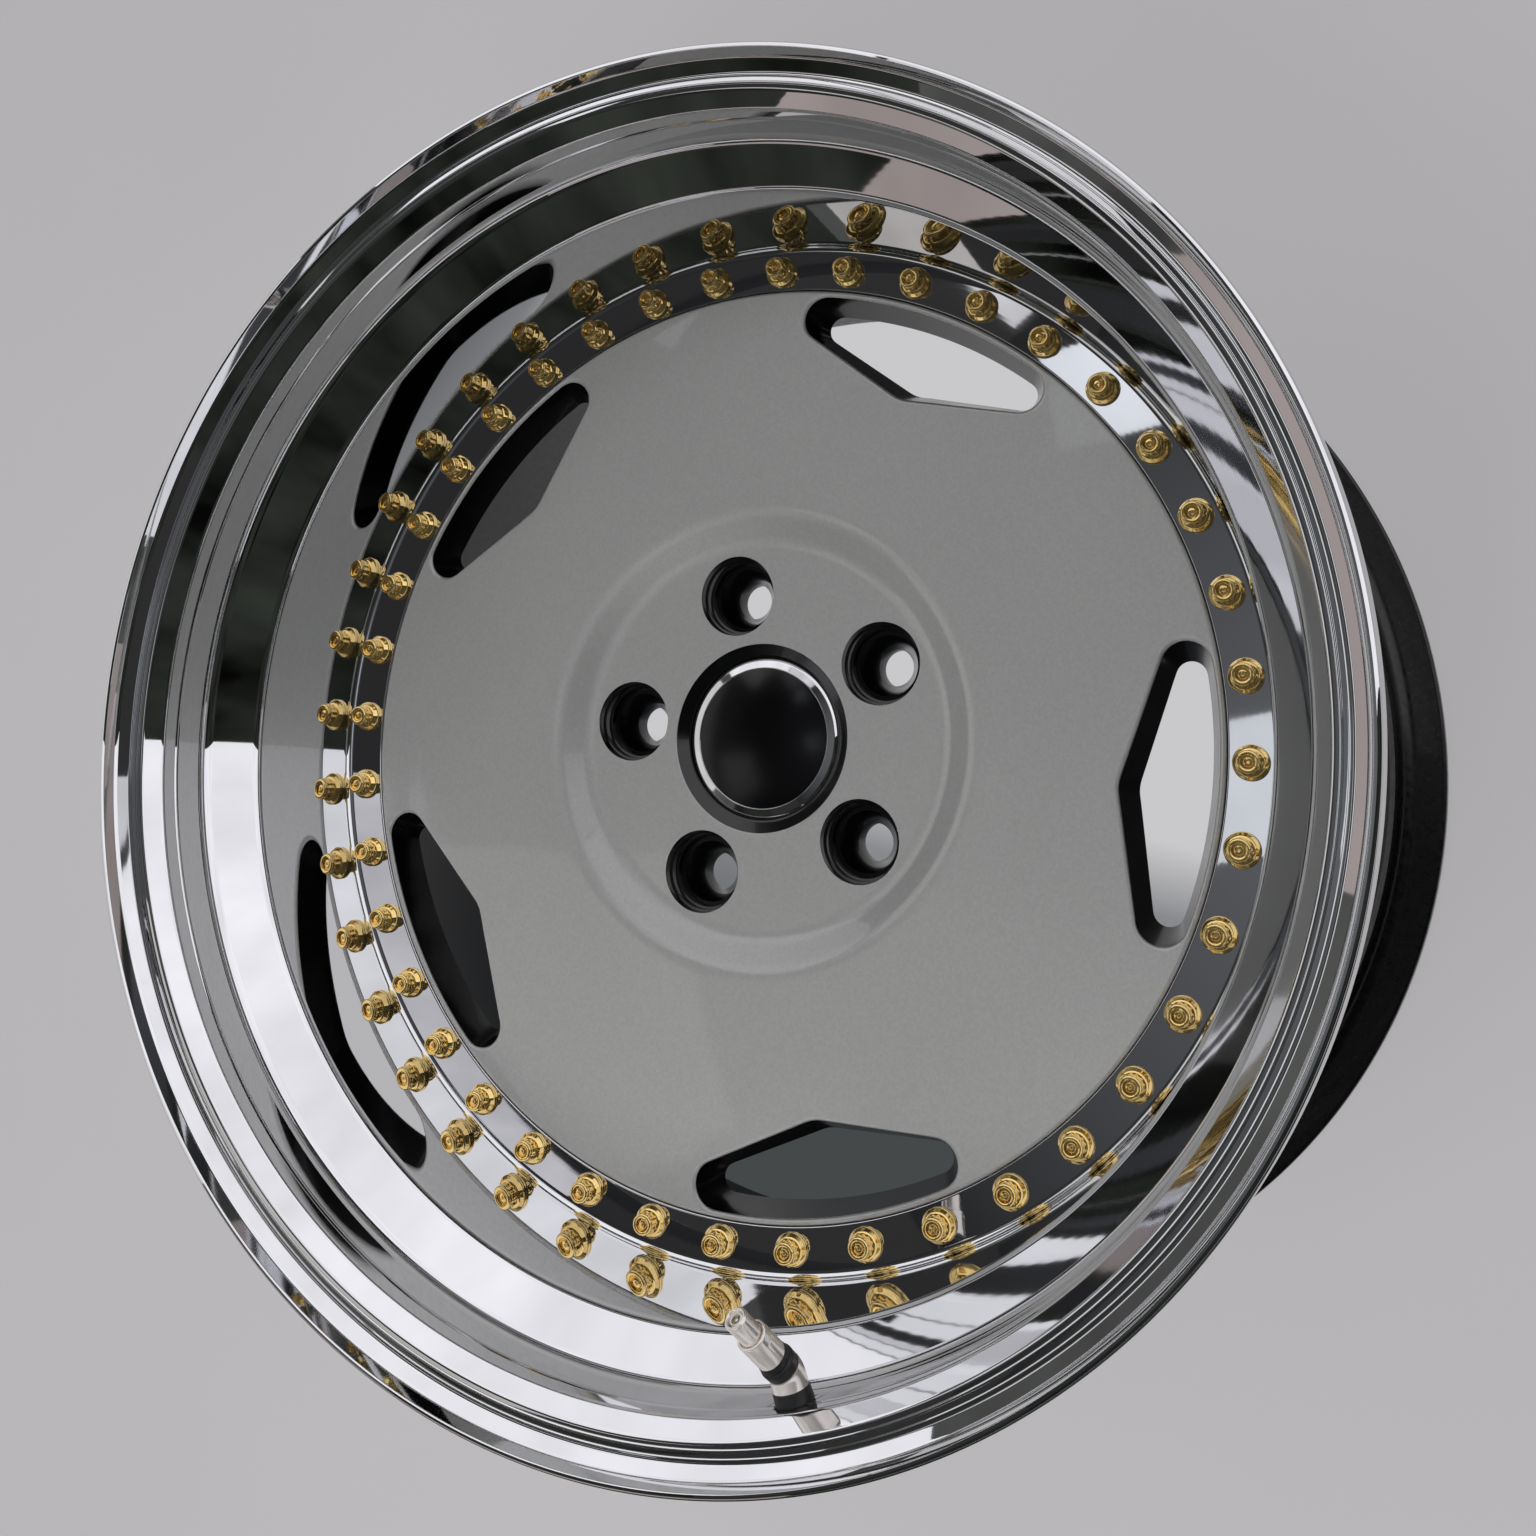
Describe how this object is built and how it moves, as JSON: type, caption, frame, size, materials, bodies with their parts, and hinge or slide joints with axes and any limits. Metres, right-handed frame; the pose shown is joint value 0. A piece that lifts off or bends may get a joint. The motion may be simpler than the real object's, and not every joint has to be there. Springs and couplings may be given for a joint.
{
  "type": "split rim wheel",
  "caption": "Bolted split rim car wheel: polished deep stepped lip, black barrel, painted slotted centre disc, ring of gold rim bolts, cap and bent valve.",
  "frame": {"origin": "centre of the rear flange's edge, on the surface that the wheel lies on", "axes": "+Z along the wheel's axis towards its visible face, +Y through a lug hole"},
  "size_m": [0.497, 0.497, 0.2765],
  "materials": {
    "polished_alloy": "polished",
    "black_alloy": "satin",
    "silver_paint": "gloss metallic",
    "sealant": "matte",
    "gold_steel": "plated, polished",
    "zinc_steel": "zinc plated",
    "black_plastic": "moulded",
    "chrome": "polished",
    "gloss_black": "gloss",
    "rubber": "matte",
    "brass": "turned"
  },
  "bodies": {
    "wheel": {"outer_lip": "polished_alloy", "inner_barrel": "black_alloy", "centre_disc": "silver_paint", "rim_seal": "sealant", "rim_bolts": "gold_steel", "rim_washers": "zinc_steel", "rim_nuts": "zinc_steel", "cap_body": "black_plastic", "cap_bezel": "chrome", "cap_dome": "gloss_black", "cap_spring_ring": "zinc_steel", "valve_stem": "chrome", "valve_inner_seal": "rubber", "valve_outer_seal": "rubber", "valve_washer": "zinc_steel", "valve_nut": "zinc_steel", "valve_sleeve": "chrome", "valve_ring": "rubber", "valve_core": "brass", "valve_spring": "zinc_steel"},
    "valve_pin": {"valve_pin": "brass"}
  },
  "joints": [
    {"name": "valve_pin_press", "type": "slide", "parent": "wheel", "child": "valve_pin", "axis": [0.1418, -0.6893, -0.7105], "range_m": [0, 0.0012], "stiffness_N_per_m": 800, "deforming": ["valve_spring"]}
  ]
}
